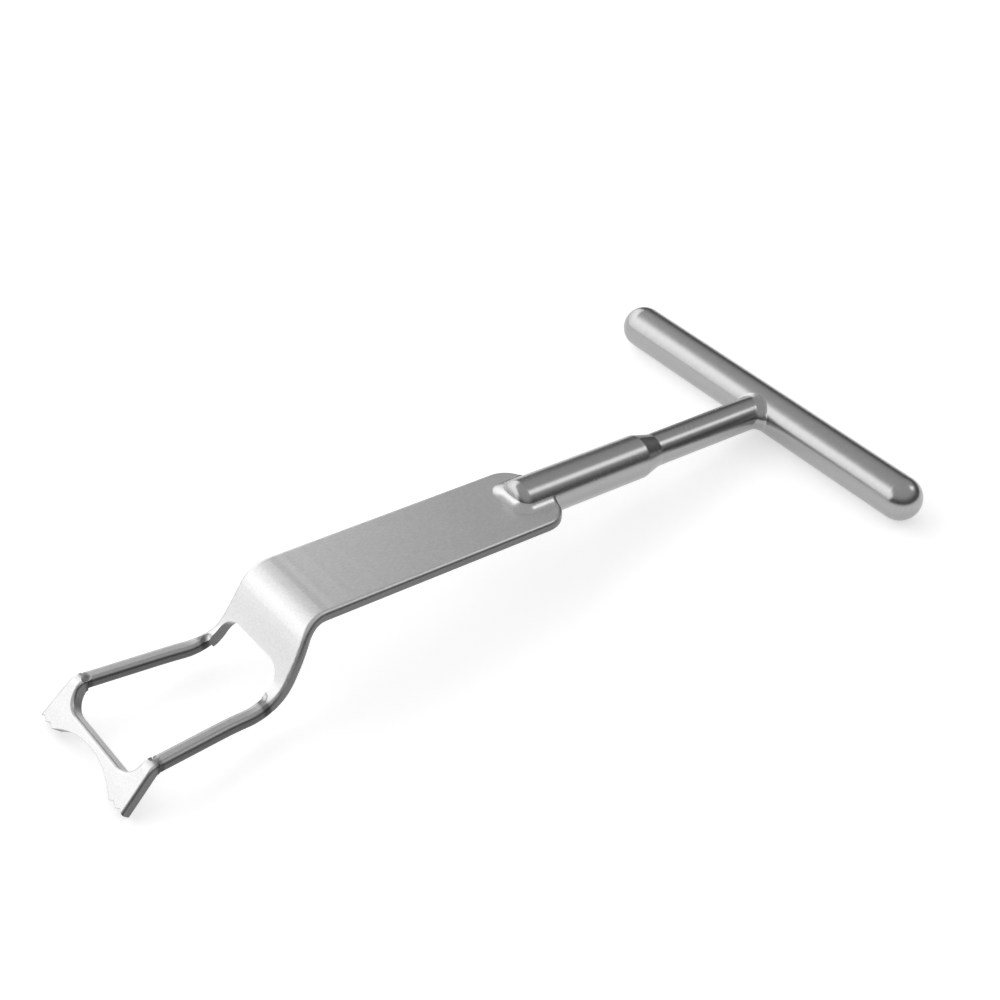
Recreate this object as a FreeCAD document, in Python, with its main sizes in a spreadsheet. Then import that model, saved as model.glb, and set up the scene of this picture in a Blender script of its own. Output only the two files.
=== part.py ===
"""Surgical retractor: a T handle, a stepped shank and a bent, windowed blade with two toothed horns.

Every piece is drawn in the tool's own frame: x runs along the shank from the middle of the
crossbar to the horns, y goes across the blade and z goes up from the middle of its thickness.
The finished pieces are tilted together so that the tool lies on its crossbar and its horns.
"""
import FreeCAD
import Part
import Sketcher
import math
import os

V = FreeCAD.Vector

# Driving dimensions, in millimetres and degrees.
SIZES = {
    "bar_dia": 12.7,
    "bar_length": 118.5,        # crossbar, over both domed ends
    "stem_dia": 9.5,            # thin rear part of the shank
    "stem_end": 44.5,           # from the crossbar's axis to the shoulder
    "shoulder_run": 6.0,        # length of the shoulder's cone
    "shank_dia": 12.5,          # thick front part of the shank
    "spigot_dia": 6.0,          # turned end of the stem, inside the crossbar
    "spigot_reach": 3.5,        # how far the spigot goes past the crossbar's axis
    "plate_rear": 84.0,         # from the crossbar's axis to the blade's rear edge
    "lap": 11.0,                # how far the shank reaches over the blade
    "nose_round": 3.0,          # rounding of the shank's front end
    "plate_thick": 3.2,
    "flat_run": 78.3,           # flat rear part of the blade
    "flat_right": 13.5,         # from the middle to the flat's right edge, at +y
    "flat_left": 12.8,          # to its left edge
    "rear_corner": 8.0,
    "edge_round": 1.2,          # rounding of the flat's and the slope's long edges
    "rail_round": 1.3,          # rounding of all edges of the rails
    "tip_round": 0.9,           # rounding of the window and the sides at the tip
    "bend_angle": 60.0,
    "bend_inner": 5.5,          # inside radius of the first bend
    "slope_run": 11.4,          # straight part between the first bend and the reverse bend
    "back_inner": 11.3,         # inside radius of the reverse bend
    "rail_lead": 30.0,          # last part of the reverse bend, where the rails are already round
    "rail_run": 25.1,           # straight part of the rails
    "tip_angle": 47.0,
    "tip_inner": 1.0,           # inside radius of the tip bend
    "tip_run": 11.1,            # from the tip bend to the points of the teeth
    "rail_span": 34.2,          # across both rails, at the reverse bend's end
    "horn_span": 40.4,          # across both horns, at the teeth
    "splay_lead": 3.0,          # half length of the curve where the rails start to splay
    "flare_lead": 1.5,          # how far before the first bend the right edge starts to widen
    "flare_run": 14.0,          # length of the double curve that widens it
    "left_outer": 14.7,         # from the middle to the left rail's outer edge, where it turns round
    "left_inner": 11.6,         # to its inner edge there
    "left_lean": 22.0,          # angle, seen from above, of its outer edge there
    "left_inner_lean": 9.0,     # angle of its inner edge there
    "left_flare_curve": 2.8,    # half length of the curve that leads the left edge out
    "left_rail_curve": 3.0,     # half length of the curves that lead it back to the rail's line
    "rail_width": 4.0,
    "window_drop": 8.8,         # from the end of the first bend to the window
    "window_corner": 5.0,
    "window_end": 4.35,         # from the end of the tip bend to the window's far edge
    "tooth_pitch": 3.0,
    "tooth_depth": 0.8,
    "hollow_radius": 24.0,      # hollow between the horns
    "dent_radius": 2.2,         # radius of the ball that leaves the dents at the rails' ends
    "dent_depth": 0.55,
    "dent_inset": 0.6,          # from the rail's inner edge to the middle of a dent
    "bar_weld": 1.1,            # height of the weld round the stem, at the crossbar
    "bar_weld_reach": 2.8,      # how far that weld goes along the stem, past the crossbar
    "bar_weld_slope": 2.2,      # length of the slope down to the stem
    "blade_weld": 2.1,          # width of the weld on the blade, beside the shank
    "blade_weld_rise": 1.3,     # its height above the blade
    "weld_corner": 5.0,         # plan radius of its front corners
    "weld_behind": 1.5,         # how far it goes past the blade's rear edge
}
TEETH = 3                       # on each horn
PAST = 5.0                      # how far a cut runs past the metal
JOINT = 2.0                     # how far the heel's and the rails' outlines run on past their joint
SPARE = 2.0                     # metal beyond the teeth before they are cut
WALL_SPARE = 0.3                # wall left straight past the window's rounded corners
EDGE_SHARE = 0.45               # largest edge rounding, as a share of the thickness
TOUCH = 1e-3                    # two places closer than this are the same


class Dim:
    """A length, an angle or a ratio, with the formula that gives it from the sheet."""

    def __init__(self, value, text):
        self.value = value
        self.text = text

    def join(self, other, sign, value):
        other = dim(other)
        return Dim(value(self.value, other.value), f"({self.text} {sign} {other.text})")

    def __add__(self, other):
        return self.join(other, "+", lambda a, b: a + b)

    def __sub__(self, other):
        return self.join(other, "-", lambda a, b: a - b)

    def __mul__(self, other):
        return self.join(other, "*", lambda a, b: a * b)

    def __truediv__(self, other):
        return self.join(other, "/", lambda a, b: a / b)

    def __neg__(self):
        return self * -1


def dim(value):
    return value if isinstance(value, Dim) else Dim(float(value), repr(float(value)))


def sin(angle):
    return Dim(math.sin(math.radians(angle.value)), f"sin({angle.text})")


def cos(angle):
    return Dim(math.cos(math.radians(angle.value)), f"cos({angle.text})")


def root(square):
    return Dim(math.sqrt(square.value), f"sqrt({square.text})")


def arcsin(ratio):
    return Dim(math.degrees(math.asin(ratio.value)), f"asin({ratio.text})")


def arctan(rise, run):
    return Dim(math.degrees(math.atan2(rise.value, run.value)), f"atan2({rise.text}; {run.text})")


def least(first, second):
    return Dim(min(first.value, second.value), f"min({first.text}; {second.text})")


def tan(angle):
    return sin(angle) / cos(angle)


doc = FreeCAD.newDocument("retractor")
sheet = doc.addObject("Spreadsheet::Sheet", "Sizes")
for row, (word, value) in enumerate(SIZES.items(), start=1):
    sheet.set(f"A{row}", word)
    sheet.set(f"B{row}", str(value))
    sheet.setAlias(f"B{row}", word)
doc.recompute()


def read(word):
    return Dim(float(getattr(sheet, word)), f"Sizes.{word}")


def bind(thing, name, formula):
    thing.setExpression(name, dim(formula).text)


# The blade's centre line, from its rear edge to the teeth.
rear = read("plate_rear")
bend = read("bend_angle")
tip_bend = read("tip_angle")
thick = read("plate_thick")
bend_radius = read("bend_inner") + thick / 2
back_radius = read("back_inner") + thick / 2
tip_radius = read("tip_inner") + thick / 2
flat_end_x = rear + read("flat_run")
slope_x = flat_end_x + bend_radius * sin(bend)
slope_z = bend_radius * (cos(bend) - 1)
back_x = slope_x + read("slope_run") * cos(bend)
back_z = slope_z - read("slope_run") * sin(bend)
lead = read("rail_lead")
rail_x = back_x + back_radius * (sin(bend) - sin(lead))
rail_z = back_z - back_radius * (cos(lead) - cos(bend))
level_x = back_x + back_radius * sin(bend)
level_z = back_z - back_radius * (dim(1) - cos(bend))
neck_x = level_x + read("rail_run")
tip_x = neck_x + tip_radius * sin(tip_bend)
tip_z = level_z + tip_radius * (cos(tip_bend) - 1)
teeth_x = tip_x + read("tip_run") * cos(tip_bend)
teeth_z = tip_z - read("tip_run") * sin(tip_bend)

# Half widths of the blade and of its window.
flat_right = read("flat_right")
flat_left = read("flat_left")
rail_half = read("rail_span") / 2
horn_half = read("horn_span") / 2
window_half = rail_half - read("rail_width")
far_y = horn_half + PAST

# The rails run parallel round the reverse bend and then splay on a curve and a straight line.
splay_lead = read("splay_lead")
splay_x = level_x + splay_lead
splay = (horn_half - rail_half) / (teeth_x - splay_x)
slant = root(splay * splay + 1)
splay_radius = splay_lead * (slant + 1) / splay
splay_angle = arctan(splay, dim(1)) / Dim(1.0, "1 deg")


def origin_part(body, role):
    """One of the body's own planes or axes."""
    return next(part for part in body.Origin.OriginFeatures if part.Role == role)


def new_body(name):
    body = doc.addObject("PartDesign::Body", name)
    body.AllowCompound = True
    return body


def new_sketch(body, name, role, x=None, z=None, turn=None):
    """A sketch on one of the body's own planes, or moved to x, z and turned about y."""
    sketch = body.newObject("Sketcher::SketchObject", name)
    sketch.AttachmentSupport = [(origin_part(body, role), "")]
    sketch.MapMode = "FlatFace"
    if turn is not None:
        turned = FreeCAD.Rotation(V(0, 1, 0), turn.value)
        sketch.AttachmentOffset = FreeCAD.Placement(V(x.value, 0, z.value), turned)
        bind(sketch, "AttachmentOffset.Base.x", x)
        bind(sketch, "AttachmentOffset.Base.z", z)
        bind(sketch, "AttachmentOffset.Rotation.Angle", turn)
    return sketch


def hold(sketch, kind, *places):
    sketch.addConstraint(Sketcher.Constraint(kind, *places))


def measure(sketch, kind, where, value):
    """Add a constraint whose value the sheet drives."""
    size = math.radians(value.value) if kind == "Angle" else value.value
    index = sketch.addConstraint(Sketcher.Constraint(kind, *where, size))
    bind(sketch, f"Constraints[{index}]", value)


def fix_point(sketch, part, end, x, y):
    """Fix a point of a line, an arc or a circle at x, y in the sketch."""
    measure(sketch, "DistanceX", (-1, 1, part, end), dim(x))
    measure(sketch, "DistanceY", (-1, 1, part, end), dim(y))


def arc_between(centre, radius, first, last):
    circle = Part.Circle(centre, V(0, 0, 1), radius)
    return Part.ArcOfCircle(circle, math.radians(min(first, last)), math.radians(max(first, last)))


def polygon(sketch, corners, arcs=()):
    """A closed outline through the corners, each one fixed.

    arcs gives the sides that are curved: the first corner, the centre's x and y, and the radius.
    """
    points = [V(dim(x).value, dim(y).value, 0) for x, y in corners]
    curved = {first: (V(dim(x).value, dim(y).value, 0), radius) for first, x, y, radius in arcs}
    ends = []
    for index, (start, end) in enumerate(zip(points, points[1:] + points[:1])):
        if index in curved:
            centre, radius = curved[index]
            facing = [math.degrees(math.atan2(point.y - centre.y, point.x - centre.x)) for point in (start, end)]
            sketch.addGeometry(arc_between(centre, radius.value, *facing), False)
            ends.append((1, 2) if facing[0] < facing[1] else (2, 1))
        else:
            sketch.addGeometry(Part.LineSegment(start, end), False)
            ends.append((1, 2))
    for index, (x, y) in enumerate(corners):
        following = (index + 1) % len(corners)
        fix_point(sketch, index, ends[index][0], x, y)
        hold(sketch, "Coincident", index, ends[index][1], following, ends[following][0])
        if index in curved:
            measure(sketch, "Radius", (index,), curved[index][1])


def heading(angle):
    """Unit vector, in a side view, that goes forward and down at the angle."""
    return V(math.cos(math.radians(angle)), -math.sin(math.radians(angle)), 0)


def upward(angle):
    """Unit vector square to that heading, on its upper side."""
    return V(math.sin(math.radians(angle)), math.cos(math.radians(angle)), 0)


def draw_face(sketch, side, place, angle, runs):
    """Draw one face of a bent strip, and list its parts with their near and far ends."""
    place = place + upward(angle) * (side * thick.value / 2)
    parts = []
    for run in runs:
        if run[0] == "line":
            end = place + heading(angle) * run[1].value
            part = sketch.addGeometry(Part.LineSegment(place, end), False)
            parts.append((part, 1, 2))
        else:
            inner, turn, way = run[1:]
            radius = inner.value + (thick.value if side == way else 0)
            after = angle + way * turn.value
            centre = place - upward(angle) * (radius * way)
            end = centre + upward(after) * (radius * way)
            arc = arc_between(centre, radius, 90 * way - angle, 90 * way - after)
            part = sketch.addGeometry(arc, False)
            parts.append((part, 2, 1) if way > 0 else (part, 1, 2))
            angle = after
        place = end
    return parts


def hold_face(sketch, side, start_cap, end_cap, runs, parts):
    """Constrain one face of a bent strip between its two square ends."""
    corner = 1 if side > 0 else 2
    before = None
    for run, (part, near, far) in zip(runs, parts):
        if before is not None:
            hold(sketch, "Tangent", *before, part, near)
        else:
            hold(sketch, "Coincident", start_cap, corner, part, near)
            if run[0] == "line":
                hold(sketch, "Perpendicular", start_cap, part)
            else:
                hold(sketch, "PointOnObject", part, 3, start_cap)
        if run[0] == "line":
            measure(sketch, "Distance", (part,), run[1])
        else:
            inner, turn, way = run[1:]
            measure(sketch, "Radius", (part,), inner + thick if side == way else inner)
            measure(sketch, "Angle", (part,), turn)
        before = (part, far)
    hold(sketch, "Coincident", end_cap, corner, *before)


def strip_profile(sketch, x, z, slope, runs):
    """The side view of a bent strip: both faces of the straight runs and bends, with square ends.

    slope is the downward angle of the centre line at x, z. A run is ("line", length) or
    ("bend", inner radius, turn, way), where way is 1 for a bend that goes further down.
    """
    start = V(x.value, z.value, 0)
    top = draw_face(sketch, 1, start, slope.value, runs)
    bottom = draw_face(sketch, -1, start, slope.value, runs)
    near = [sketch.getPoint(*face[0][:2]) for face in (top, bottom)]
    far = [sketch.getPoint(face[-1][0], face[-1][2]) for face in (top, bottom)]
    start_cap = sketch.addGeometry(Part.LineSegment(*near), False)
    end_cap = sketch.addGeometry(Part.LineSegment(*far), False)
    fix_point(sketch, start_cap, 1, x + thick / 2 * sin(slope), z + thick / 2 * cos(slope))
    fix_point(sketch, start_cap, 2, x - thick / 2 * sin(slope), z - thick / 2 * cos(slope))
    hold_face(sketch, 1, start_cap, end_cap, runs, top)
    hold_face(sketch, -1, start_cap, end_cap, runs, bottom)


def pad_strip(body, x, z, slope, runs):
    sketch = new_sketch(body, f"{body.Name}_profile", "XZ_Plane")
    strip_profile(sketch, x, z, slope, runs)
    pad = body.newObject("PartDesign::Pad", f"{body.Name}_strip")
    pad.Profile = sketch
    pad.SideType = "Symmetric"
    bind(pad, "Length", far_y * 2)
    doc.recompute()


def cut_through(body, sketch, name):
    pocket = body.newObject("PartDesign::Pocket", name)
    pocket.Profile = sketch
    pocket.SideType = "Symmetric"
    pocket.Type = "ThroughAll"
    doc.recompute()
    return pocket


class Edge:
    """One edge of the blade seen from above, given as half widths at growing x, with its curves."""

    def __init__(self, x, half):
        self.corners = [(x, half)]
        self.arcs = []

    def line(self, x, half):
        self.corners.append((x, half))

    def curve(self, x, half, centre_x, centre_half, radius):
        self.arcs.append((len(self.corners) - 1, centre_x, centre_half, radius))
        self.line(x, half)

    def turn(self, x, half, before, after, reach):
        """Round the corner at x, half between two angles, from reach before it to reach after it."""
        way = 1 if after.value > before.value else -1
        radius = reach / tan((after - before) * way / 2)
        start_x = x - reach * cos(before)
        start_half = half - reach * sin(before)
        self.line(start_x, start_half)
        self.curve(x + reach * cos(after), half + reach * sin(after),
                   start_x - radius * sin(before) * way, start_half + radius * cos(before) * way, radius)


def trim(body, edge, side):
    """Cut away what lies outside an edge, on the right for side 1 and on the left for side -1."""
    word = "right" if side > 0 else "left"
    sketch = new_sketch(body, f"{body.Name}_{word}_outline", "XY_Plane")
    corners = edge.corners + [(edge.corners[-1][0], far_y), (edge.corners[0][0], far_y)]
    polygon(sketch, [(x, dim(half) * side) for x, half in corners],
            [(first, x, half * side, radius) for first, x, half, radius in edge.arcs])
    cut_through(body, sketch, f"{body.Name}_{word}_side")


def right_heel_edge():
    """Parallel along the flat, then a double curve out to the rail."""
    start_x = flat_end_x - read("flare_lead")
    end_x = start_x + read("flare_run")
    half_run = read("flare_run") / 2
    half_rise = (rail_half - flat_right) / 2
    radius = (half_run * half_run + half_rise * half_rise) / (half_rise * 2)
    edge = Edge(rear - PAST, flat_right)
    edge.line(start_x, flat_right)
    edge.curve(start_x + half_run, flat_right + half_rise, start_x, flat_right + radius, radius)
    edge.curve(end_x, rail_half, end_x, rail_half - radius, radius)
    edge.line(rail_x + PAST, rail_half)
    return edge


def leaning(half, lean, x):
    """Half width at x of a left edge that leans out from half, at the rails' start."""
    return half + (x - rail_x) * tan(lean)


def left_heel_edge():
    """Parallel along the flat, then one curve into the line that leans out to the rail."""
    lean = read("left_lean")
    outer = read("left_outer")
    edge = Edge(rear - PAST, flat_left)
    edge.turn(rail_x - (outer - flat_left) / tan(lean), flat_left, dim(0), lean, read("left_flare_curve"))
    edge.line(rail_x + JOINT, leaning(outer, lean, rail_x + JOINT))
    return edge


def splayed(half, x):
    """Half width at x, past the curve, of an edge that is half wide where the rails are parallel."""
    return half + splay * (x - splay_x)


def right_rail_edge(half, far_x):
    """Parallel to the reverse bend's end, then a curve and a line towards the horn."""
    edge = Edge(rail_x - PAST, half)
    edge.line(level_x, half)
    edge.curve(splay_x + splay_lead / slant, half + splay_lead * splay / slant,
               level_x, half + splay_radius, splay_radius)
    edge.line(far_x, splayed(half, far_x))
    return edge


def left_rail_edge(start, lean, half, far_x):
    """A line that leans out from start, then a curve into the same line as on the right."""
    meet_x = rail_x + (splayed(half, rail_x) - start) / (tan(lean) - splay)
    edge = Edge(rail_x - JOINT, leaning(start, lean, rail_x - JOINT))
    edge.turn(meet_x, leaning(start, lean, meet_x), lean, splay_angle, read("left_rail_curve"))
    edge.line(far_x, splayed(half, far_x))
    return edge


def both_sides(upper):
    """Corners with their mirror images below the x axis, in order round the outline."""
    return upper + [(x, -dim(y)) for x, y in reversed(upper)]


def round_edges(body, name, radius, choose):
    base = body.Tip
    edges = [f"Edge{index}" for index, edge in enumerate(base.Shape.Edges, start=1) if choose(edge)]
    fillet = body.newObject("PartDesign::Fillet", name)
    fillet.Base = (base, edges)
    bind(fillet, "Radius", radius)
    doc.recompute()


def round_corners(body, name, radius, x, right, left, z):
    """Round both edges that go straight through the plate with their middle at x, z and right or -left."""
    def at_corner(edge):
        middle = edge.CenterOfMass
        half = right if middle.y > 0 else left
        return math.hypot(middle.x - x.value, abs(middle.y) - half.value, middle.z - z.value) < TOUCH

    round_edges(body, name, read(radius), at_corner)


def middle_of(edge):
    return edge.valueAt((edge.FirstParameter + edge.LastParameter) / 2)


def runs_along(edge):
    """True for an edge that follows the blade's length, not one across it or through it."""
    along = edge.tangentAt((edge.FirstParameter + edge.LastParameter) / 2)
    return abs(along.x) > abs(along.y) and along.x * along.z < TOUCH


def soften(body, word, wall, choose):
    """Round the chosen edges, at most as far as the wall allows."""
    round_edges(body, f"{body.Name}_edges", least(read(word), wall * EDGE_SHARE), choose)


def make_heel():
    """Rear part of the blade: the flat, both bends and the handle side of the window."""
    body = new_body("heel")
    pad_strip(body, rear, dim(0), dim(0), [
        ("line", read("flat_run")),
        ("bend", read("bend_inner"), bend, 1),
        ("line", read("slope_run")),
        ("bend", read("back_inner"), bend - lead, -1),
    ])
    trim(body, right_heel_edge(), 1)
    trim(body, left_heel_edge(), -1)
    round_corners(body, "heel_corners", "rear_corner", rear, flat_right, flat_left, dim(0))
    drop = read("window_drop")
    straight = drop + read("window_corner")
    side_x = slope_x + straight * cos(bend) + thick / 2 * sin(bend) + WALL_SPARE
    left_half = leaning(read("left_inner"), read("left_inner_lean"), side_x)
    window = new_sketch(body, "heel_window_end", "XY_Plane", slope_x, slope_z, bend)
    polygon(window, [(drop, -left_half), (straight + PAST, -left_half),
                     (straight + PAST, window_half), (drop, window_half)])
    cut_through(body, window, "heel_window")
    window_x = slope_x + drop * cos(bend)
    window_z = slope_z - drop * sin(bend)
    side = new_sketch(body, "heel_window_sides", "XY_Plane")
    end_x = rail_x + JOINT
    polygon(side, [(side_x, -left_half), (end_x, -leaning(read("left_inner"), read("left_inner_lean"), end_x)),
                   (end_x, window_half), (side_x, window_half)])
    cut_through(body, side, "heel_opening")
    round_corners(body, "heel_window_corners", "window_corner", window_x, window_half, left_half, window_z)

    def outer_edge(edge):
        middle = middle_of(edge)
        at_rear = abs(middle.x - rear.value) < TOUCH and abs(middle.z) > thick.value / 2 - TOUCH
        inner = window_half.value if middle.y > 0 else read("left_inner").value
        beside = middle.x < window_x.value or abs(middle.y) > inner + TOUCH
        return at_rear or (runs_along(edge) and beside)

    soften(body, "edge_round", thick, outer_edge)
    return body


def make_rails():
    """The two side rails, rounded all along."""
    body = new_body("rails")
    pad_strip(body, rail_x, rail_z, lead, [
        ("bend", read("back_inner"), lead, -1),
        ("line", read("rail_run")),
    ])
    far_x = neck_x + PAST
    trim(body, right_rail_edge(rail_half, far_x), 1)
    trim(body, left_rail_edge(read("left_outer"), read("left_lean"), rail_half, far_x), -1)
    right = right_rail_edge(window_half, far_x)
    left = left_rail_edge(read("left_inner"), read("left_inner_lean"), window_half, far_x)
    corners = right.corners + [(x, -half) for x, half in reversed(left.corners)]
    last = len(corners) - 2
    arcs = right.arcs + [(last - first, x, -half, radius) for first, x, half, radius in left.arcs]
    window = new_sketch(body, "rails_window", "XY_Plane")
    polygon(window, corners, arcs)
    cut_through(body, window, "rails_opening")
    soften(body, "rail_round", least(thick, read("left_outer") - read("left_inner")), runs_along)
    return body


def make_tip():
    """The tip bend and the plate with both horns, rounded along its sides and its window."""
    body = new_body("tip")
    pad_strip(body, neck_x, level_z, dim(0), [
        ("bend", read("tip_inner"), tip_bend, 1),
        ("line", read("tip_run") + SPARE),
    ])
    side = Edge(neck_x - PAST, splayed(rail_half, neck_x - PAST))
    side.line(teeth_x + PAST, splayed(rail_half, teeth_x + PAST))
    trim(body, side, 1)
    trim(body, side, -1)
    end = read("window_end")
    neck_half = splayed(window_half, neck_x)
    window = new_sketch(body, "tip_window", "XY_Plane", tip_x, tip_z, tip_bend)
    polygon(window, both_sides([(-tip_radius - PAST, neck_half), (end, neck_half)]))
    cut_through(body, window, "tip_opening")
    window_x = tip_x + end * cos(tip_bend)
    window_z = tip_z - end * sin(tip_bend)
    round_corners(body, "tip_window_corners", "window_corner", window_x, neck_half, neck_half, window_z)

    above = upward(tip_bend.value)

    def exposed_edge(edge):
        middle = middle_of(edge)
        across = edge.tangentAt((edge.FirstParameter + edge.LastParameter) / 2)
        through = abs(across.x * above.x + across.z * above.y) > 1 - TOUCH
        height = (middle.x - tip_x.value) * above.x + (middle.z - tip_z.value) * above.y
        inside = abs(middle.y) < neck_half.value + TOUCH
        if inside:
            return height > 0 and not through and neck_x.value + TOUCH < middle.x < teeth_x.value
        return runs_along(edge) and middle.x < teeth_x.value

    soften(body, "tip_round", thick, exposed_edge)
    cut_teeth(body)
    hollow_horns(body)
    return body


def cut_teeth(body):
    """Trim the tip plate square, with pointed teeth at both sides."""
    sketch = new_sketch(body, "tooth_outline", "XY_Plane", tip_x, tip_z, tip_bend)
    end = read("tip_run")
    pitch = read("tooth_pitch")
    side = [(end + PAST, far_y), (end, far_y)]
    for tooth in range(TEETH):
        if tooth > 0:
            side.append((end - read("tooth_depth"), horn_half - pitch * (tooth - 0.5)))
        side.append((end, horn_half - pitch * tooth))
    polygon(sketch, both_sides(side))
    cut_through(body, sketch, "teeth")


def hollow_horns(body):
    """Cut the round hollow that leaves a horn at each side, from the last tooth to its twin."""
    sketch = new_sketch(body, "hollow_outline", "XY_Plane", tip_x, tip_z, tip_bend)
    radius = read("hollow_radius")
    last_tooth = horn_half - read("tooth_pitch") * (TEETH - 1)
    centre_x = read("tip_run") + root(radius * radius - last_tooth * last_tooth)
    circle = sketch.addGeometry(Part.Circle(V(centre_x.value, 0, 0), V(0, 0, 1), radius.value), False)
    fix_point(sketch, circle, 3, centre_x, 0)
    measure(sketch, "Radius", (circle,), radius)
    cut_through(body, sketch, "hollow")


def revolve(body, name, corners):
    """Turn a profile, given as x and radius, about the shank's axis."""
    sketch = new_sketch(body, f"{name}_profile", "XZ_Plane")
    polygon(sketch, corners)
    turned = body.newObject("PartDesign::Revolution", f"{name}_turning")
    turned.Profile = sketch
    turned.ReferenceAxis = (origin_part(body, "X_Axis"), [""])
    turned.Angle = 360
    doc.recompute()


def make_turned_shank():
    """The shank as it leaves the lathe: spigot, stem, shoulder and rounded front end."""
    body = new_body("turned_shank")
    spigot = read("spigot_dia") / 2
    spigot_end = -read("spigot_reach")
    stem = read("stem_dia") / 2
    stem_end = read("stem_end")
    full = read("shank_dia") / 2
    front = rear + read("lap")
    revolve(body, "shank", [(spigot_end, 0), (spigot_end, spigot), (0, spigot), (0, stem), (stem_end, stem),
                            (stem_end + read("shoulder_run"), full), (front, full), (front, 0)])
    round_edges(body, "shank_nose", read("nose_round"),
                lambda edge: abs(edge.CenterOfMass.x - front.value) < TOUCH and edge.Length > full.value)
    return body


def primitive(kind, name, place, axis, angle, **sizes):
    """A primitive whose sizes and place follow the sheet."""
    thing = doc.addObject(f"Part::{kind}", name)
    for word, formula in sizes.items():
        bind(thing, word, formula)
    where = V(*(dim(value).value for value in place))
    thing.Placement = FreeCAD.Placement(where, FreeCAD.Rotation(axis, angle))
    for letter, formula in zip("xyz", place):
        bind(thing, f"Placement.Base.{letter}", formula)
    return thing


def make_bar_blank():
    """Solid round bar across the shank, with domed ends."""
    radius = read("bar_dia") / 2
    reach = read("bar_length") / 2 - radius
    across = (V(1, 0, 0), -90)
    return fuse("bar_blank", [
        primitive("Cylinder", "bar_rod", (0, -reach, 0), *across, Radius=radius, Height=reach * 2),
        primitive("Sphere", "bar_left_dome", (0, -reach, 0), *across, Radius=radius),
        primitive("Sphere", "bar_right_dome", (0, reach, 0), *across, Radius=radius),
    ])


def cut(name, base, tool):
    result = doc.addObject("Part::Cut", name)
    result.Base = base
    result.Tool = tool
    doc.recompute()
    return result


def fuse(name, parts):
    result = doc.addObject("Part::MultiFuse", name)
    result.Shapes = parts
    result.Refine = True
    doc.recompute()
    return result


def dent(name, x, z, slope, half, side):
    """The ball that dents the top of a rail, where its centre line is at x, z and slopes down."""
    radius = read("dent_radius")
    above = thick / 2 + radius - read("dent_depth")
    place = (x + above * sin(slope), (half + read("dent_inset")) * side, z + above * cos(slope))
    return primitive("Sphere", name, place, V(0, 0, 1), 0, Radius=radius)


def dent_rails(whole):
    """Dent the upper side of both rails where they turn round, and where they meet the tip bend."""
    level = dim(0)
    neck_half = splayed(window_half, neck_x)
    balls = fuse("dent_balls", [
        dent("right_heel_dent", rail_x, rail_z, lead, window_half, 1),
        dent("left_heel_dent", rail_x, rail_z, lead, read("left_inner"), -1),
        dent("right_tip_dent", neck_x, level_z, level, neck_half, 1),
        dent("left_tip_dent", neck_x, level_z, level, neck_half, -1),
    ])
    return cut("dented_blade", whole, balls)


def bore_bar(blank):
    """The bar with the blind bore that takes the spigot."""
    reach = read("spigot_reach")
    bore = primitive("Cylinder", "spigot_bore", (-reach, 0, 0), V(0, 1, 0), 90,
                     Radius=read("spigot_dia") / 2, Height=reach + read("bar_dia"))
    return cut("bored_bar", blank, bore)


def weld_bar(blank):
    """Filler metal of the weld round the stem, where it meets the crossbar."""
    body = new_body("bar_weld_collar")
    stem = read("stem_dia") / 2
    collar = stem + read("bar_weld")
    end = read("bar_dia") / 2 + read("bar_weld_reach")
    revolve(body, "collar", [(0, stem), (0, collar), (end - read("bar_weld_slope"), collar), (end, stem)])
    return cut("bar_weld_filler", body, blank)


def weld_blade(turned_shank, heel):
    """Filler metal of the weld round the lap of the shank, above, below and behind the blade."""
    body = new_body("lap_weld")
    half = read("shank_dia") / 2
    half_thick = thick / 2
    toe_y = root(half * half - half_thick * half_thick) + read("blade_weld")
    toe_x = rear + read("lap") + read("blade_weld")
    corner = read("weld_corner")
    behind_x = rear - read("weld_behind")
    upper = new_sketch(body, "lap_weld_outline", "XY_Plane", dim(0), half_thick, dim(0))
    polygon(upper, [(behind_x, -toe_y), (toe_x - corner, -toe_y), (toe_x, corner - toe_y),
                    (toe_x, toe_y - corner), (toe_x - corner, toe_y), (behind_x, toe_y)],
            [(1, toe_x - corner, corner - toe_y, corner), (3, toe_x - corner, toe_y - corner, corner)])
    bead = body.newObject("PartDesign::Pad", "lap_weld_bead")
    bead.Profile = upper
    bind(bead, "Length", read("blade_weld_rise"))
    bind(bead, "TaperAngle", -arctan(read("blade_weld"), read("blade_weld_rise")))
    doc.recompute()
    lower = body.newObject("PartDesign::Mirrored", "lap_weld_lower")
    lower.Originals = [bead]
    lower.MirrorPlane = (origin_part(body, "XY_Plane"), [""])
    body.Tip = lower
    doc.recompute()
    link = new_sketch(body, "lap_weld_link_outline", "XY_Plane")
    polygon(link, [(behind_x, -toe_y), (rear + PAST, -toe_y), (rear + PAST, toe_y), (behind_x, toe_y)])
    pad = body.newObject("PartDesign::Pad", "lap_weld_link")
    pad.Profile = link
    pad.SideType = "Symmetric"
    bind(pad, "Length", thick)
    doc.recompute()
    return cut("lap_weld_filler", cut("lap_weld_ring", body, turned_shank), heel)


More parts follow.
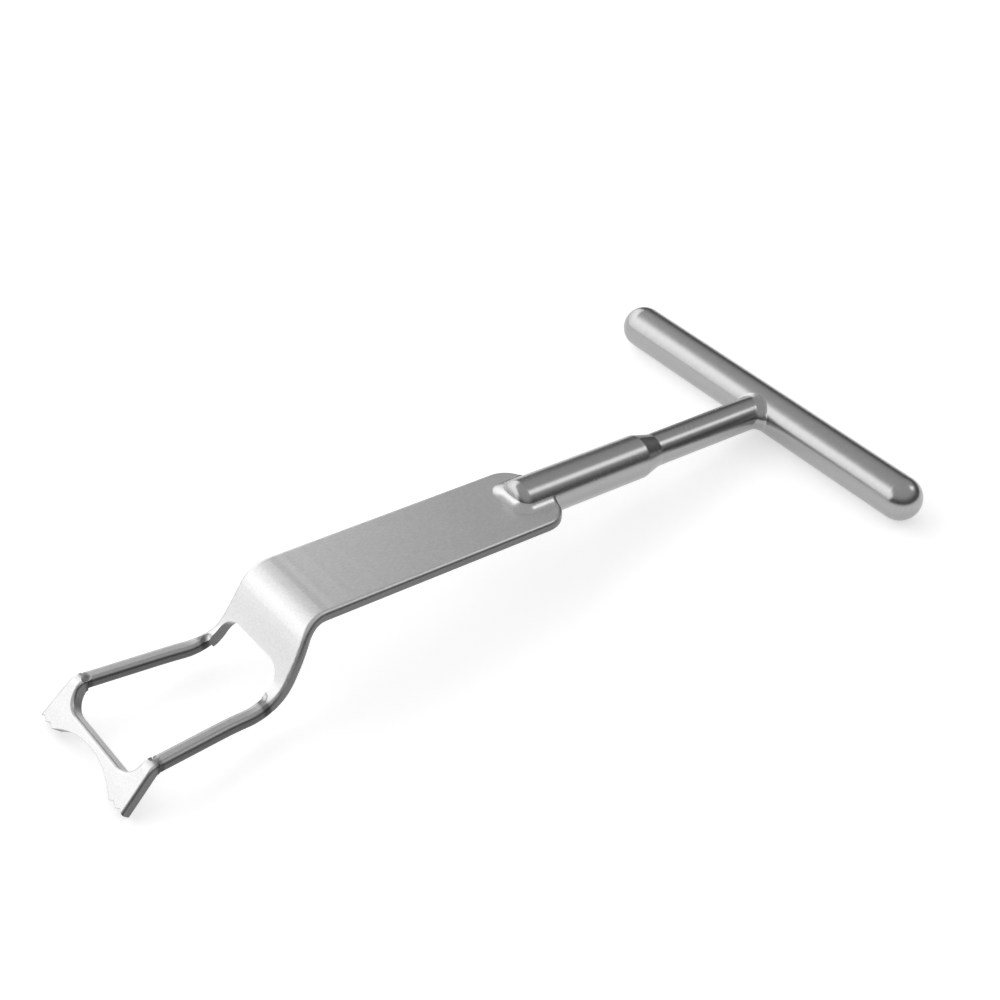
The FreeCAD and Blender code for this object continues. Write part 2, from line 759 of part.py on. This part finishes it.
def rest_on_table(pieces):
    """Place the finished pieces together, tilted on to the crossbar and the teeth.

    The crossbar's underside and the lower corner of the teeth end level at z = 0, and the
    whole length is centred on x = 0.
    """
    radius = read("bar_dia") / 2
    under_x = teeth_x - thick / 2 * sin(tip_bend)
    under_z = teeth_z - thick / 2 * cos(tip_bend)
    over_x = teeth_x + thick / 2 * sin(tip_bend)
    over_z = teeth_z + thick / 2 * cos(tip_bend)
    tilt = arctan(under_z, under_x) + arcsin(radius / root(under_x * under_x + under_z * under_z))
    foremost = over_x * cos(tilt) + over_z * sin(tilt)
    shift = (radius - foremost) / 2
    turned = FreeCAD.Rotation(V(0, 1, 0), tilt.value)
    for name, piece in pieces.items():
        node = doc.addObject("Part::Compound", name)
        node.Label = name
        node.Links = [piece]
        node.Placement = FreeCAD.Placement(V(shift.value, 0, radius.value), turned)
        bind(node, "Placement.Base.x", shift)
        bind(node, "Placement.Base.z", radius)
        bind(node, "Placement.Rotation.Angle", tilt)
    doc.recompute()


def write_parts(names):
    for thing in doc.Objects:
        if "Invalid" in thing.State or "Error" in thing.State:
            raise RuntimeError(f"{thing.Name} did not compute: {thing.State}")
    for name in names:
        shape = doc.getObject(name).Shape
        if shape.isNull() or not shape.isValid() or len(shape.Solids) != 1:
            raise RuntimeError(f"{name} is not one valid solid")
    os.makedirs("parts", exist_ok=True)
    for name in names:
        doc.getObject(name).Shape.exportStep(f"parts/{name}.step")


heel = make_heel()
blade = dent_rails(fuse("whole_blade", [heel, make_rails(), make_tip()]))
turned_shank = make_turned_shank()
bar_blank = make_bar_blank()
bored_bar = bore_bar(bar_blank)
coped_shank = cut("coped_shank", turned_shank, bored_bar)
pieces = {
    "blade": blade,
    "shank": cut("slotted_shank", coped_shank, heel),
    "crossbar": bored_bar,
    "crossbar_weld": weld_bar(bar_blank),
    "blade_weld": weld_blade(turned_shank, heel),
}
rest_on_table(pieces)
write_parts(pieces)
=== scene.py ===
"""Studio picture of the retractor: a brushed blade, buffed round bars and dressed welds."""
import bmesh
import bpy
import math
from mathutils import Matrix, Vector


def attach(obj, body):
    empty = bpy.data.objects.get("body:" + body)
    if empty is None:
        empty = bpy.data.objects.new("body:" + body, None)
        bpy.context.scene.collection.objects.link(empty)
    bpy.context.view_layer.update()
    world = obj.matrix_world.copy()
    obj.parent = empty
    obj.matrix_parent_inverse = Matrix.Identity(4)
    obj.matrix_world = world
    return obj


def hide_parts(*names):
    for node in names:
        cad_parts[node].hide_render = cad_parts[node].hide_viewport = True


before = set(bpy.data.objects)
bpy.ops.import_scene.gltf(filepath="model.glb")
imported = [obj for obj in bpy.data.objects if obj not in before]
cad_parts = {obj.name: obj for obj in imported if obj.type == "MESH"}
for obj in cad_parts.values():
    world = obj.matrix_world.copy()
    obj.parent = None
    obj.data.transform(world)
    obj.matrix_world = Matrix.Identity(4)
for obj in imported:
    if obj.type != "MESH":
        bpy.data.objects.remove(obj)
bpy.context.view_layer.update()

# From the tool's own frame, in which the shank lies along X, to the way the tool rests on the floor.
REST = Matrix(((0.994267, 0.0, -0.106927, -0.108205), (0.0, 1.0, 0.0, 0.0),
               (0.106927, 0.0, 0.994267, 0.00635), (0.0, 0.0, 0.0, 1.0)))

# Sizes in metres, in the tool's own frame.
BAR_RADIUS = 0.00635
STEM_RADIUS = 0.00475
SHANK_RADIUS = 0.00625
HALF_SHEET = 0.0016             # half the blade's thickness
EDGE_ROUND = 0.0012             # round on the blade's edges
PLATE_REAR = 0.0840             # the blade's rear edge
NOSE_START = 0.0920             # where the shank's nose begins to narrow
NOSE_ROUND = 0.0030
NOSE_FLAT = 0.00325             # radius of the flat left at the nose's end
FOOT, FULLER_FOOT = 0.0010, 0.0018        # crossbar weld, along the bar: least, and more on its full side
RISE, FULLER_RISE = 0.0012, 0.0016        # the same, along the stem
SLIMMER_ABOVE = 0.35            # share that the foot loses on the bar's upper and lower side
LAP_FOOT, LAP_FRONT = 0.0023, 0.0010      # lap weld, across: beside the shank, and more before its nose
LAP_RISE = 0.0019
LAP_ROOT = 0.0006               # how far the lap weld reaches under the shank
LAP_DEPTH = 0.0005
SIDE_ENDS, ROUND_ENDS = 0.40, 0.85        # of the way from the rear edge to the nose's middle
RIM_OUT, RIM_DOWN = 0.00004, 0.00006      # how far a weld's rim dips into the metal

# Places along X in the resting frame.
WAVES_START, WAVES_FULL = 0.030, 0.050
RAILS_START, RAILS_FULL = 0.0680, 0.0750
RAILS_FADE, RAILS_END = 0.1010, 0.1035
HORNS_START, TEETH_START = 0.1035, 0.1055
HEEL_DENTS, TIP_DENTS = 0.0729, 0.1028
DENT_CORE, DENT_REACH = 0.0004, 0.0015    # from a dent's middle: fully darkened by the painted shade, and no longer darkened

BRUSHED = 0.60                  # reflectance of the brushed blade
BUFFED = 0.39                   # reflectance of the buffed rods
LAP_WELD = 0.52                 # reflectance of the weld between blade and shank
RAIL_SHADE_TONE, SIDE_SHADE_TONE = 0.68, 0.30         # share of the blade's reflectance that the painted shade leaves on its rails and sides, in its dents, and in the line round its teeth
DENT_SHADE_TONE, TEETH_SHADE_TONE = 0.42, 0.55         # and sides, in its dents, and in the line round its teeth
BEND_WAVES = 220.0              # waves for each metre along the blade
FLOOR_HALF = 20.0               # half the floor's side, in metres
FLOOR_GLOW = 0.50               # strength that makes the lit floor white


def sockets(tree, rows):
    """Add the named inputs and outputs of a node group."""
    for name, way, kind, default in rows:
        socket = tree.interface.new_socket(name=name, in_out=way, socket_type=kind)
        if default is not None:
            socket.default_value = default


def add(tree, kind, **values):
    """Add a node, set its properties, and its inputs where the key starts with in_."""
    node = tree.nodes.new(kind)
    for key, value in values.items():
        if key.startswith("in_"):
            node.inputs[key[3:].replace("_", " ")].default_value = value
        else:
            setattr(node, key, value)
    return node


def calc(tree, operation, *values):
    """Add a Math node for sockets and plain numbers, and give its output."""
    node = add(tree, "ShaderNodeMath", operation=operation)
    for socket, value in zip(node.inputs, values):
        if isinstance(value, float):
            socket.default_value = value
        else:
            tree.links.new(value, socket)
    return node.outputs[0]


def fade(tree, value, start, full, least=0.0):
    """Mask that changes smoothly from least, where value is start, to 1, where it is full."""
    node = add(tree, "ShaderNodeMapRange", interpolation_type="SMOOTHSTEP", in_From_Min=start,
               in_From_Max=full, in_To_Min=least, in_To_Max=1.0)
    tree.links.new(value, node.inputs["Value"])
    return node.outputs["Result"]


def noise(tree, vector, scale, detail, roughness):
    """Unevenness from 0 to 1, in the three directions of a vector."""
    node = add(tree, "ShaderNodeTexNoise", in_Scale=scale, in_Detail=detail, in_Roughness=roughness)
    tree.links.new(vector, node.inputs["Vector"])
    return node.outputs["Fac"]


def place(tree):
    """The point's own place on the tool, as a vector."""
    return add(tree, "ShaderNodeTexCoord").outputs["Object"]


def along(tree):
    """The point's place along X."""
    split = add(tree, "ShaderNodeSeparateXYZ")
    tree.links.new(place(tree), split.inputs[0])
    return split.outputs["X"]


def edge_agreement(tree, rounded):
    """How far the surface's normal agrees with a rounded one: 1 on a face, less near an edge."""
    agree = add(tree, "ShaderNodeVectorMath", operation="DOT_PRODUCT")
    tree.links.new(rounded.outputs["Normal"], agree.inputs[0])
    tree.links.new(add(tree, "ShaderNodeNewGeometry").outputs["Normal"], agree.inputs[1])
    return agree.outputs["Value"]


def make_grain_group():
    """Fine parallel scratches with a slow cloudy change of shine."""
    tree = bpy.data.node_groups.new("brushed_grain", "ShaderNodeTree")
    sockets(tree, [
        ("Stretch", "INPUT", "NodeSocketVector", (1.0, 1.0, 1.0)),
        ("Base", "INPUT", "NodeSocketFloat", BUFFED),
        ("Contrast", "INPUT", "NodeSocketFloat", 0.05),
        ("Roughness", "INPUT", "NodeSocketFloat", 0.3),
        ("Spread", "INPUT", "NodeSocketFloat", 0.08),
        ("Depth", "INPUT", "NodeSocketFloat", 0.1),
        ("Colour", "OUTPUT", "NodeSocketColor", None),
        ("Shine", "OUTPUT", "NodeSocketFloat", None),
        ("Normal", "OUTPUT", "NodeSocketVector", None),
    ])
    link = tree.links.new
    given = add(tree, "NodeGroupInput").outputs
    out = add(tree, "NodeGroupOutput").inputs
    stretched = add(tree, "ShaderNodeVectorMath", operation="MULTIPLY")
    link(place(tree), stretched.inputs[0])
    link(given["Stretch"], stretched.inputs[1])
    scratch = noise(tree, stretched.outputs[0], 1.0, 3.0, 0.65)
    cloud = noise(tree, place(tree), 70.0, 2.0, 0.5)

    centred = calc(tree, "SUBTRACT", scratch, 0.5)
    tone = calc(tree, "MULTIPLY_ADD", centred, given["Contrast"], given["Base"])
    colour = add(tree, "ShaderNodeCombineColor")
    for part in ("Red", "Green", "Blue"):
        link(tone, colour.inputs[part])
    link(colour.outputs[0], out["Colour"])

    mixed = calc(tree, "ADD", calc(tree, "SUBTRACT", cloud, 0.5), centred)
    link(calc(tree, "MULTIPLY_ADD", mixed, given["Spread"], given["Roughness"]), out["Shine"])

    bump = add(tree, "ShaderNodeBump", in_Distance=0.00002)
    link(given["Depth"], bump.inputs["Strength"])
    link(scratch, bump.inputs["Height"])
    link(bump.outputs["Normal"], out["Normal"])
    return tree


def make_wear_group():
    """Edges and corners that handling and washing have rubbed bright and smooth, in patches."""
    tree = bpy.data.node_groups.new("rubbed_edges", "ShaderNodeTree")
    sockets(tree, [
        ("Colour", "INPUT", "NodeSocketColor", None),
        ("Shine", "INPUT", "NodeSocketFloat", 0.3),
        ("Radius", "INPUT", "NodeSocketFloat", 0.0008),
        ("Brighten", "INPUT", "NodeSocketFloat", 0.2),
        ("Smooth", "INPUT", "NodeSocketFloat", 0.3),
        ("Colour", "OUTPUT", "NodeSocketColor", None),
        ("Shine", "OUTPUT", "NodeSocketFloat", None),
    ])
    link = tree.links.new
    given = add(tree, "NodeGroupInput").outputs
    out = add(tree, "NodeGroupOutput").inputs
    rounded = add(tree, "ShaderNodeBevel", samples=4)
    link(given["Radius"], rounded.inputs["Radius"])
    edge = add(tree, "ShaderNodeMapRange", in_From_Min=0.995, in_From_Max=0.80,
               in_To_Min=0.0, in_To_Max=1.0)
    link(edge_agreement(tree, rounded), edge.inputs["Value"])
    worn = calc(tree, "MULTIPLY", edge.outputs["Result"], noise(tree, place(tree), 450.0, 3.0, 0.6))

    pale = add(tree, "ShaderNodeMix", data_type="RGBA")
    link(calc(tree, "MULTIPLY", worn, given["Brighten"]), pale.inputs["Factor"])
    link(given["Colour"], pale.inputs[6])
    pale.inputs[7].default_value = (0.9, 0.9, 0.9, 1.0)
    link(pale.outputs[2], out["Colour"])

    keep = calc(tree, "SUBTRACT", 1.0, calc(tree, "MULTIPLY", worn, given["Smooth"]))
    link(calc(tree, "MULTIPLY", given["Shine"], keep), out["Shine"])
    return tree


GRAIN = make_grain_group()
WEAR = make_wear_group()


def steel(name, base, stretch, contrast, roughness, spread, depth):
    """Bare stainless steel whose scratches run along the axis with the smallest stretch."""
    material = bpy.data.materials.new(name)
    material.use_nodes = True
    tree = material.node_tree
    shader = tree.nodes["Principled BSDF"]
    shader.inputs["Metallic"].default_value = 1.0
    grain = add(tree, "ShaderNodeGroup", node_tree=GRAIN, in_Stretch=stretch, in_Base=base,
                in_Contrast=contrast, in_Roughness=roughness, in_Spread=spread, in_Depth=depth)
    wear = add(tree, "ShaderNodeGroup", node_tree=WEAR)
    tree.links.new(grain.outputs["Colour"], wear.inputs["Colour"])
    tree.links.new(grain.outputs["Shine"], wear.inputs["Shine"])
    tree.links.new(wear.outputs["Colour"], shader.inputs["Base Color"])
    tree.links.new(wear.outputs["Shine"], shader.inputs["Roughness"])
    tree.links.new(grain.outputs["Normal"], shader.inputs["Normal"])
    return material


def darken(material, mask, tone):
    """Multiply the colour that the shader gets so far by tone, where the mask is 1."""
    tree = material.node_tree
    colour = tree.nodes["Principled BSDF"].inputs["Base Color"]
    mix = add(tree, "ShaderNodeMix", data_type="RGBA", blend_type="MULTIPLY")
    tree.links.new(mask, mix.inputs["Factor"])
    tree.links.new(colour.links[0].from_socket, mix.inputs[6])
    mix.inputs[7].default_value = (tone, tone, tone, 1.0)
    tree.links.new(mix.outputs[2], colour)


def ripple_near_bend(material):
    """Faint waves that pressing leaves across the blade, just before its bend."""
    tree = material.node_tree
    normal = tree.nodes["Principled BSDF"].inputs["Normal"]
    x = along(tree)
    wave = add(tree, "ShaderNodeTexNoise", noise_dimensions="1D", in_Scale=1.0, in_Detail=1.0)
    tree.links.new(calc(tree, "MULTIPLY", x, BEND_WAVES), wave.inputs["W"])
    near = fade(tree, x, WAVES_START, WAVES_FULL, least=0.15)
    bump = add(tree, "ShaderNodeBump", in_Distance=0.00012, in_Strength=1.0)
    tree.links.new(calc(tree, "MULTIPLY", wave.outputs["Fac"], near), bump.inputs["Height"])
    tree.links.new(normal.links[0].from_socket, bump.inputs["Normal"])
    tree.links.new(bump.outputs["Normal"], normal)


def paint_shade_on_rails(material):
    """Painted shade: darker colour on the blade's two rails, standing in for the darker reflections that
    their rounded faces show.
    """
    tree = material.node_tree
    x = along(tree)
    past_heel = fade(tree, x, RAILS_START, RAILS_FULL)
    before_tip = fade(tree, x, RAILS_END, RAILS_FADE)
    darken(material, calc(tree, "MULTIPLY", past_heel, before_tip), RAIL_SHADE_TONE)


def paint_shade_on_sides(material):
    """Painted shade: darker colour on the blade's narrow sides, and on the end faces round the tip's window,
    horns and teeth, standing in for the dark reflections there.
    """
    tree = material.node_tree
    facing = add(tree, "ShaderNodeSeparateXYZ")
    tree.links.new(add(tree, "ShaderNodeNewGeometry").outputs["Normal"], facing.inputs[0])
    side = fade(tree, calc(tree, "ABSOLUTE", facing.outputs["Y"]), 0.62, 0.92)
    end = fade(tree, calc(tree, "ABSOLUTE", facing.outputs["Z"]), 0.80, 0.45)
    tooth = calc(tree, "MULTIPLY", end, calc(tree, "GREATER_THAN", along(tree), HORNS_START))
    darken(material, calc(tree, "MAXIMUM", side, tooth), SIDE_SHADE_TONE)


def paint_shade_in_dents(material):
    """Painted shade: darker colour in the four dents, two at each end of the rails, where shade falls in the
    hollows.
    """
    tree = material.node_tree
    x = along(tree)
    heel, tip = (fade(tree, calc(tree, "ABSOLUTE", calc(tree, "SUBTRACT", x, middle)),
                      DENT_REACH, DENT_CORE) for middle in (HEEL_DENTS, TIP_DENTS))
    darken(material, calc(tree, "MAXIMUM", heel, tip), DENT_SHADE_TONE)


def paint_shade_round_teeth(material):
    """Painted shade: a thin grey line along the edges round the horns and the teeth, standing in for their
    darker reflections.
    """
    tree = material.node_tree
    rounded = add(tree, "ShaderNodeBevel", samples=6, in_Radius=0.0004)
    edge = fade(tree, edge_agreement(tree, rounded), 0.99, 0.90)
    teeth = calc(tree, "GREATER_THAN", along(tree), TEETH_START)
    darken(material, calc(tree, "MULTIPLY", edge, teeth), TEETH_SHADE_TONE)


def dress(node, material):
    """Give a CAD node its finish."""
    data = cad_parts[node].data
    data.materials.clear()
    data.materials.append(material)


def finish(name, bm, material, node):
    """Make a bmesh drawn in the tool's own frame a smooth piece, in place of a CAD node."""
    bmesh.ops.remove_doubles(bm, verts=bm.verts, dist=1e-6)
    bmesh.ops.recalc_face_normals(bm, faces=bm.faces)
    bmesh.ops.transform(bm, matrix=REST, verts=bm.verts)
    mesh = bpy.data.meshes.new(name)
    bm.to_mesh(mesh)
    bm.free()
    mesh.shade_smooth()
    mesh.set_sharp_from_angle(angle=math.radians(40))
    piece = bpy.data.objects.new(name, mesh)
    bpy.context.scene.collection.objects.link(piece)
    mesh.materials.append(material)
    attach(piece, "root")
    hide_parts(node)


def make_crossbar_fillet(material):
    """Dressed weld: a concave ring, fuller on one side, from the stem into the round of the crossbar.

    The ring is spun with a foot and a rise of 1, round a stem of radius 1, and then sized.
    """
    bm = bmesh.new()
    steps, inside = 14, 0.8
    ring = [bm.verts.new((1.0 - math.sin(t), 2.0 - math.cos(t), 0.0))
            for t in (math.pi / 2 * k / steps for k in range(steps + 1))]
    ring += [bm.verts.new((0.0, inside, 0.0)), bm.verts.new((1.0, inside, 0.0))]
    edges = [bm.edges.new((ring[k - 1], ring[k])) for k in range(len(ring))]
    bmesh.ops.spin(bm, geom=ring + edges, axis=(1, 0, 0), cent=(0, 0, 0), angle=math.tau,
                   steps=96, use_merge=True)
    for v in bm.verts:
        radial = math.hypot(v.co.y, v.co.z)
        across, up = v.co.y / radial, v.co.z / radial
        full = ((1.0 + across) / 2) ** 2
        foot = (FOOT + FULLER_FOOT * full) * (1.0 - SLIMMER_ABOVE * up * up)
        rise = RISE + FULLER_RISE * full
        beyond = max(radial - 1.0, 0.0)
        radius = STEM_RADIUS * min(radial, 1.0) + foot * beyond
        y, z = radius * across, radius * up
        sag = BAR_RADIUS - math.sqrt(max(BAR_RADIUS ** 2 - z * z, 0.0))
        v.co = Vector((BAR_RADIUS + rise * v.co.x - sag - RIM_DOWN * beyond ** 4, y, z))
    finish("crossbar_fillet", bm, material, "crossbar_weld")


def lap_contour(t, height):
    """Point and outward direction, seen from above, of the shank's outline at a height over its axis.

    t runs from -1 at the blade's rear edge, round the nose, to 1 at the rear edge again.
    """
    side, s = (1 if t >= 0 else -1), 1 - abs(t)
    if s < SIDE_ENDS:
        x, radius, turn = PLATE_REAR + (NOSE_START - PLATE_REAR) * s / SIDE_ENDS, SHANK_RADIUS, 0.0
    elif s < ROUND_ENDS:
        turn = math.pi / 2 * (s - SIDE_ENDS) / (ROUND_ENDS - SIDE_ENDS)
        x, radius = NOSE_START + NOSE_ROUND * math.sin(turn), NOSE_FLAT + NOSE_ROUND * math.cos(turn)
    else:
        x, radius, turn = NOSE_START + NOSE_ROUND, NOSE_FLAT, math.pi / 2
    y = math.sqrt(max(radius ** 2 - height ** 2, 0.0))
    if s >= ROUND_ENDS:
        y *= (1 - s) / (1 - ROUND_ENDS)
    return Vector((x, side * y, 0.0)), Vector((math.sin(turn), side * math.cos(turn), 0.0))


def plate_top(x):
    """Height of the blade's upper face over the shank's axis, down its rounded rear edge."""
    back = max(PLATE_REAR + EDGE_ROUND - x, 0.0)
    return HALF_SHEET - EDGE_ROUND + math.sqrt(max(EDGE_ROUND ** 2 - back * back, 0.0))


def make_lap_fillet(material):
    """Dressed weld round the shank's nose and both its sides, above and below the blade.

    A grid is bent round the shank. Its rows run up the concave face, down inside the metal
    and back to the foot.
    """
    bm = bmesh.new()
    bmesh.ops.create_grid(bm, x_segments=160, y_segments=20, size=1.0)
    top_row, root_row = 0.8, 0.9
    for v in bm.verts:
        t, row = v.co.x, (v.co.y + 1) / 2
        foot, out = lap_contour(t, HALF_SHEET)
        width = (LAP_FOOT + LAP_FRONT * out.x) * min(1.0, 0.3 + 9 * (1 - abs(t)))
        base = plate_top(foot.x)
        toe = foot + out * (width - RIM_OUT) + Vector((0, 0, base - RIM_DOWN))
        root = foot - out * LAP_ROOT + Vector((0, 0, base - LAP_DEPTH))
        angle = min(row / top_row, 1.0) * math.pi / 2
        rise = LAP_RISE * (1 - math.cos(angle))
        wall, out = lap_contour(t, base + rise)
        face = wall + out * (width * (1 - math.sin(angle)) - RIM_OUT) + Vector((0, 0, base + rise - RIM_DOWN))
        if row <= top_row:
            v.co = face
        elif row <= root_row:
            v.co = face.lerp(root, (row - top_row) / (root_row - top_row))
        else:
            v.co = root.lerp(toe, (row - root_row) / (1.0 - root_row))
    bmesh.ops.remove_doubles(bm, verts=bm.verts, dist=1e-6)
    bmesh.ops.holes_fill(bm, edges=[e for e in bm.edges if e.is_boundary], sides=0)
    under = bmesh.ops.duplicate(bm, geom=bm.verts[:] + bm.edges[:] + bm.faces[:])["geom"]
    bmesh.ops.scale(bm, vec=(1, 1, -1), verts=[g for g in under if isinstance(g, bmesh.types.BMVert)])
    finish("lap_fillet", bm, material, "blade_weld")


def pale_floor():
    """Pale matt finish that shows white to the camera and in the steel, and keeps its shadows."""
    material = bpy.data.materials.new("pale_floor")
    material.use_nodes = True
    tree = material.node_tree
    shader = tree.nodes["Principled BSDF"]
    shader.inputs["Base Color"].default_value = (0.8, 0.8, 0.8, 1.0)
    shader.inputs["Roughness"].default_value = 0.9
    shader.inputs["Specular IOR Level"].default_value = 0.0
    path = add(tree, "ShaderNodeLightPath").outputs
    seen = calc(tree, "MAXIMUM", path["Is Camera Ray"], path["Is Glossy Ray"])
    seen = calc(tree, "MAXIMUM", seen, path["Is Transmission Ray"])
    shader.inputs["Emission Color"].default_value = (1.0, 1.0, 1.0, 1.0)
    tree.links.new(calc(tree, "MULTIPLY", seen, FLOOR_GLOW), shader.inputs["Emission Strength"])
    return material


def make_floor():
    bm = bmesh.new()
    bmesh.ops.create_grid(bm, x_segments=1, y_segments=1, size=FLOOR_HALF)
    mesh = bpy.data.meshes.new("floor")
    bm.to_mesh(mesh)
    bm.free()
    floor = bpy.data.objects.new("floor", mesh)
    bpy.context.scene.collection.objects.link(floor)
    mesh.materials.append(pale_floor())


def make_world():
    """Even grey surroundings, darker towards the horizon."""
    world = bpy.data.worlds.new("studio")
    bpy.context.scene.world = world
    world.use_nodes = True
    tree = world.node_tree
    split = add(tree, "ShaderNodeSeparateXYZ")
    tree.links.new(add(tree, "ShaderNodeTexCoord").outputs["Generated"], split.inputs[0])
    ramp = add(tree, "ShaderNodeValToRGB")
    tree.links.new(split.outputs["Z"], ramp.inputs["Fac"])
    stops = [(0.0, 0.04), (0.30, 0.12), (0.62, 0.56), (0.90, 0.60)]
    elements = ramp.color_ramp.elements
    elements[0].position = stops[0][0]
    elements[1].position = stops[-1][0]
    for height, _ in stops[1:-1]:
        elements.new(height)
    for element, (_, value) in zip(elements, stops):
        element.color = (value, value, value, 1.0)
    tree.links.new(ramp.outputs["Color"], tree.nodes["Background"].inputs["Color"])


def softbox(name, azimuth, elevation, distance, width, height, radiance):
    """Rectangular lamp that faces the object. azimuth is counted from +X towards +Y."""
    lamp = bpy.data.lights.new(name, "AREA")
    lamp.shape = "RECTANGLE"
    lamp.size = width
    lamp.size_y = height
    lamp.energy = radiance * math.pi * width * height
    holder = bpy.data.objects.new(name, lamp)
    a, e = math.radians(azimuth), math.radians(elevation)
    way = Vector((math.cos(a) * math.cos(e), math.sin(a) * math.cos(e), math.sin(e)))
    holder.location = way * distance
    holder.rotation_mode = "QUATERNION"
    holder.rotation_quaternion = way.to_track_quat("Z", "Y")
    bpy.context.scene.collection.objects.link(holder)


def make_camera():
    """The photograph's camera: place, turn and angle of view."""
    camera = bpy.data.cameras.new("camera")
    holder = bpy.data.objects.new("camera", camera)
    bpy.context.scene.collection.objects.link(holder)
    right = Vector((-0.789535, 0.613697, 0.003196))
    down = Vector((0.385534, 0.500036, -0.775453))
    ahead = Vector((-0.477491, -0.611015, -0.631398))
    turn = Matrix((right, -down, -ahead)).transposed()
    holder.matrix_world = Matrix.Translation((0.214664, 0.287995, 0.317608)) @ turn.to_4x4()
    camera.sensor_width = 36.0
    camera.lens = 64.875
    camera.clip_start = 0.01
    camera.clip_end = 100.0
    bpy.context.scene.camera = holder


blade_steel = steel("brushed_blade", BRUSHED, (900.0, 2500.0, 2500.0), 0.26, 0.38, 0.10, 0.06)
ripple_near_bend(blade_steel)
# painted shade on the rails
paint_shade_on_rails(blade_steel)
# painted shade on the sides and end faces
paint_shade_on_sides(blade_steel)
# painted shade in the dents
paint_shade_in_dents(blade_steel)
# painted shade along the edges round the teeth
paint_shade_round_teeth(blade_steel)
dress("blade", blade_steel)
dress("shank", steel("buffed_shank", BUFFED, (3500.0, 500.0, 500.0), 0.12, 0.26, 0.05, 0.003))
dress("crossbar", steel("buffed_crossbar", BUFFED, (500.0, 3500.0, 500.0), 0.12, 0.25, 0.05, 0.003))
make_crossbar_fillet(steel("dressed_weld", BUFFED, (1200.0, 1200.0, 1200.0), 0.10, 0.25, 0.10, 0.02))
make_lap_fillet(steel("dressed_lap_weld", LAP_WELD, (1200.0, 1200.0, 1200.0), 0.10, 0.28, 0.10, 0.02))

make_floor()
make_world()
softbox("back_panel", -66.0, 26.5, 11.0, 29.0, 9.8, 1.58)
softbox("side_strip", 155.0, 42.0, 12.0, 3.4, 3.4, 1.9)
make_camera()
bpy.context.scene.view_settings.view_transform = "Standard"
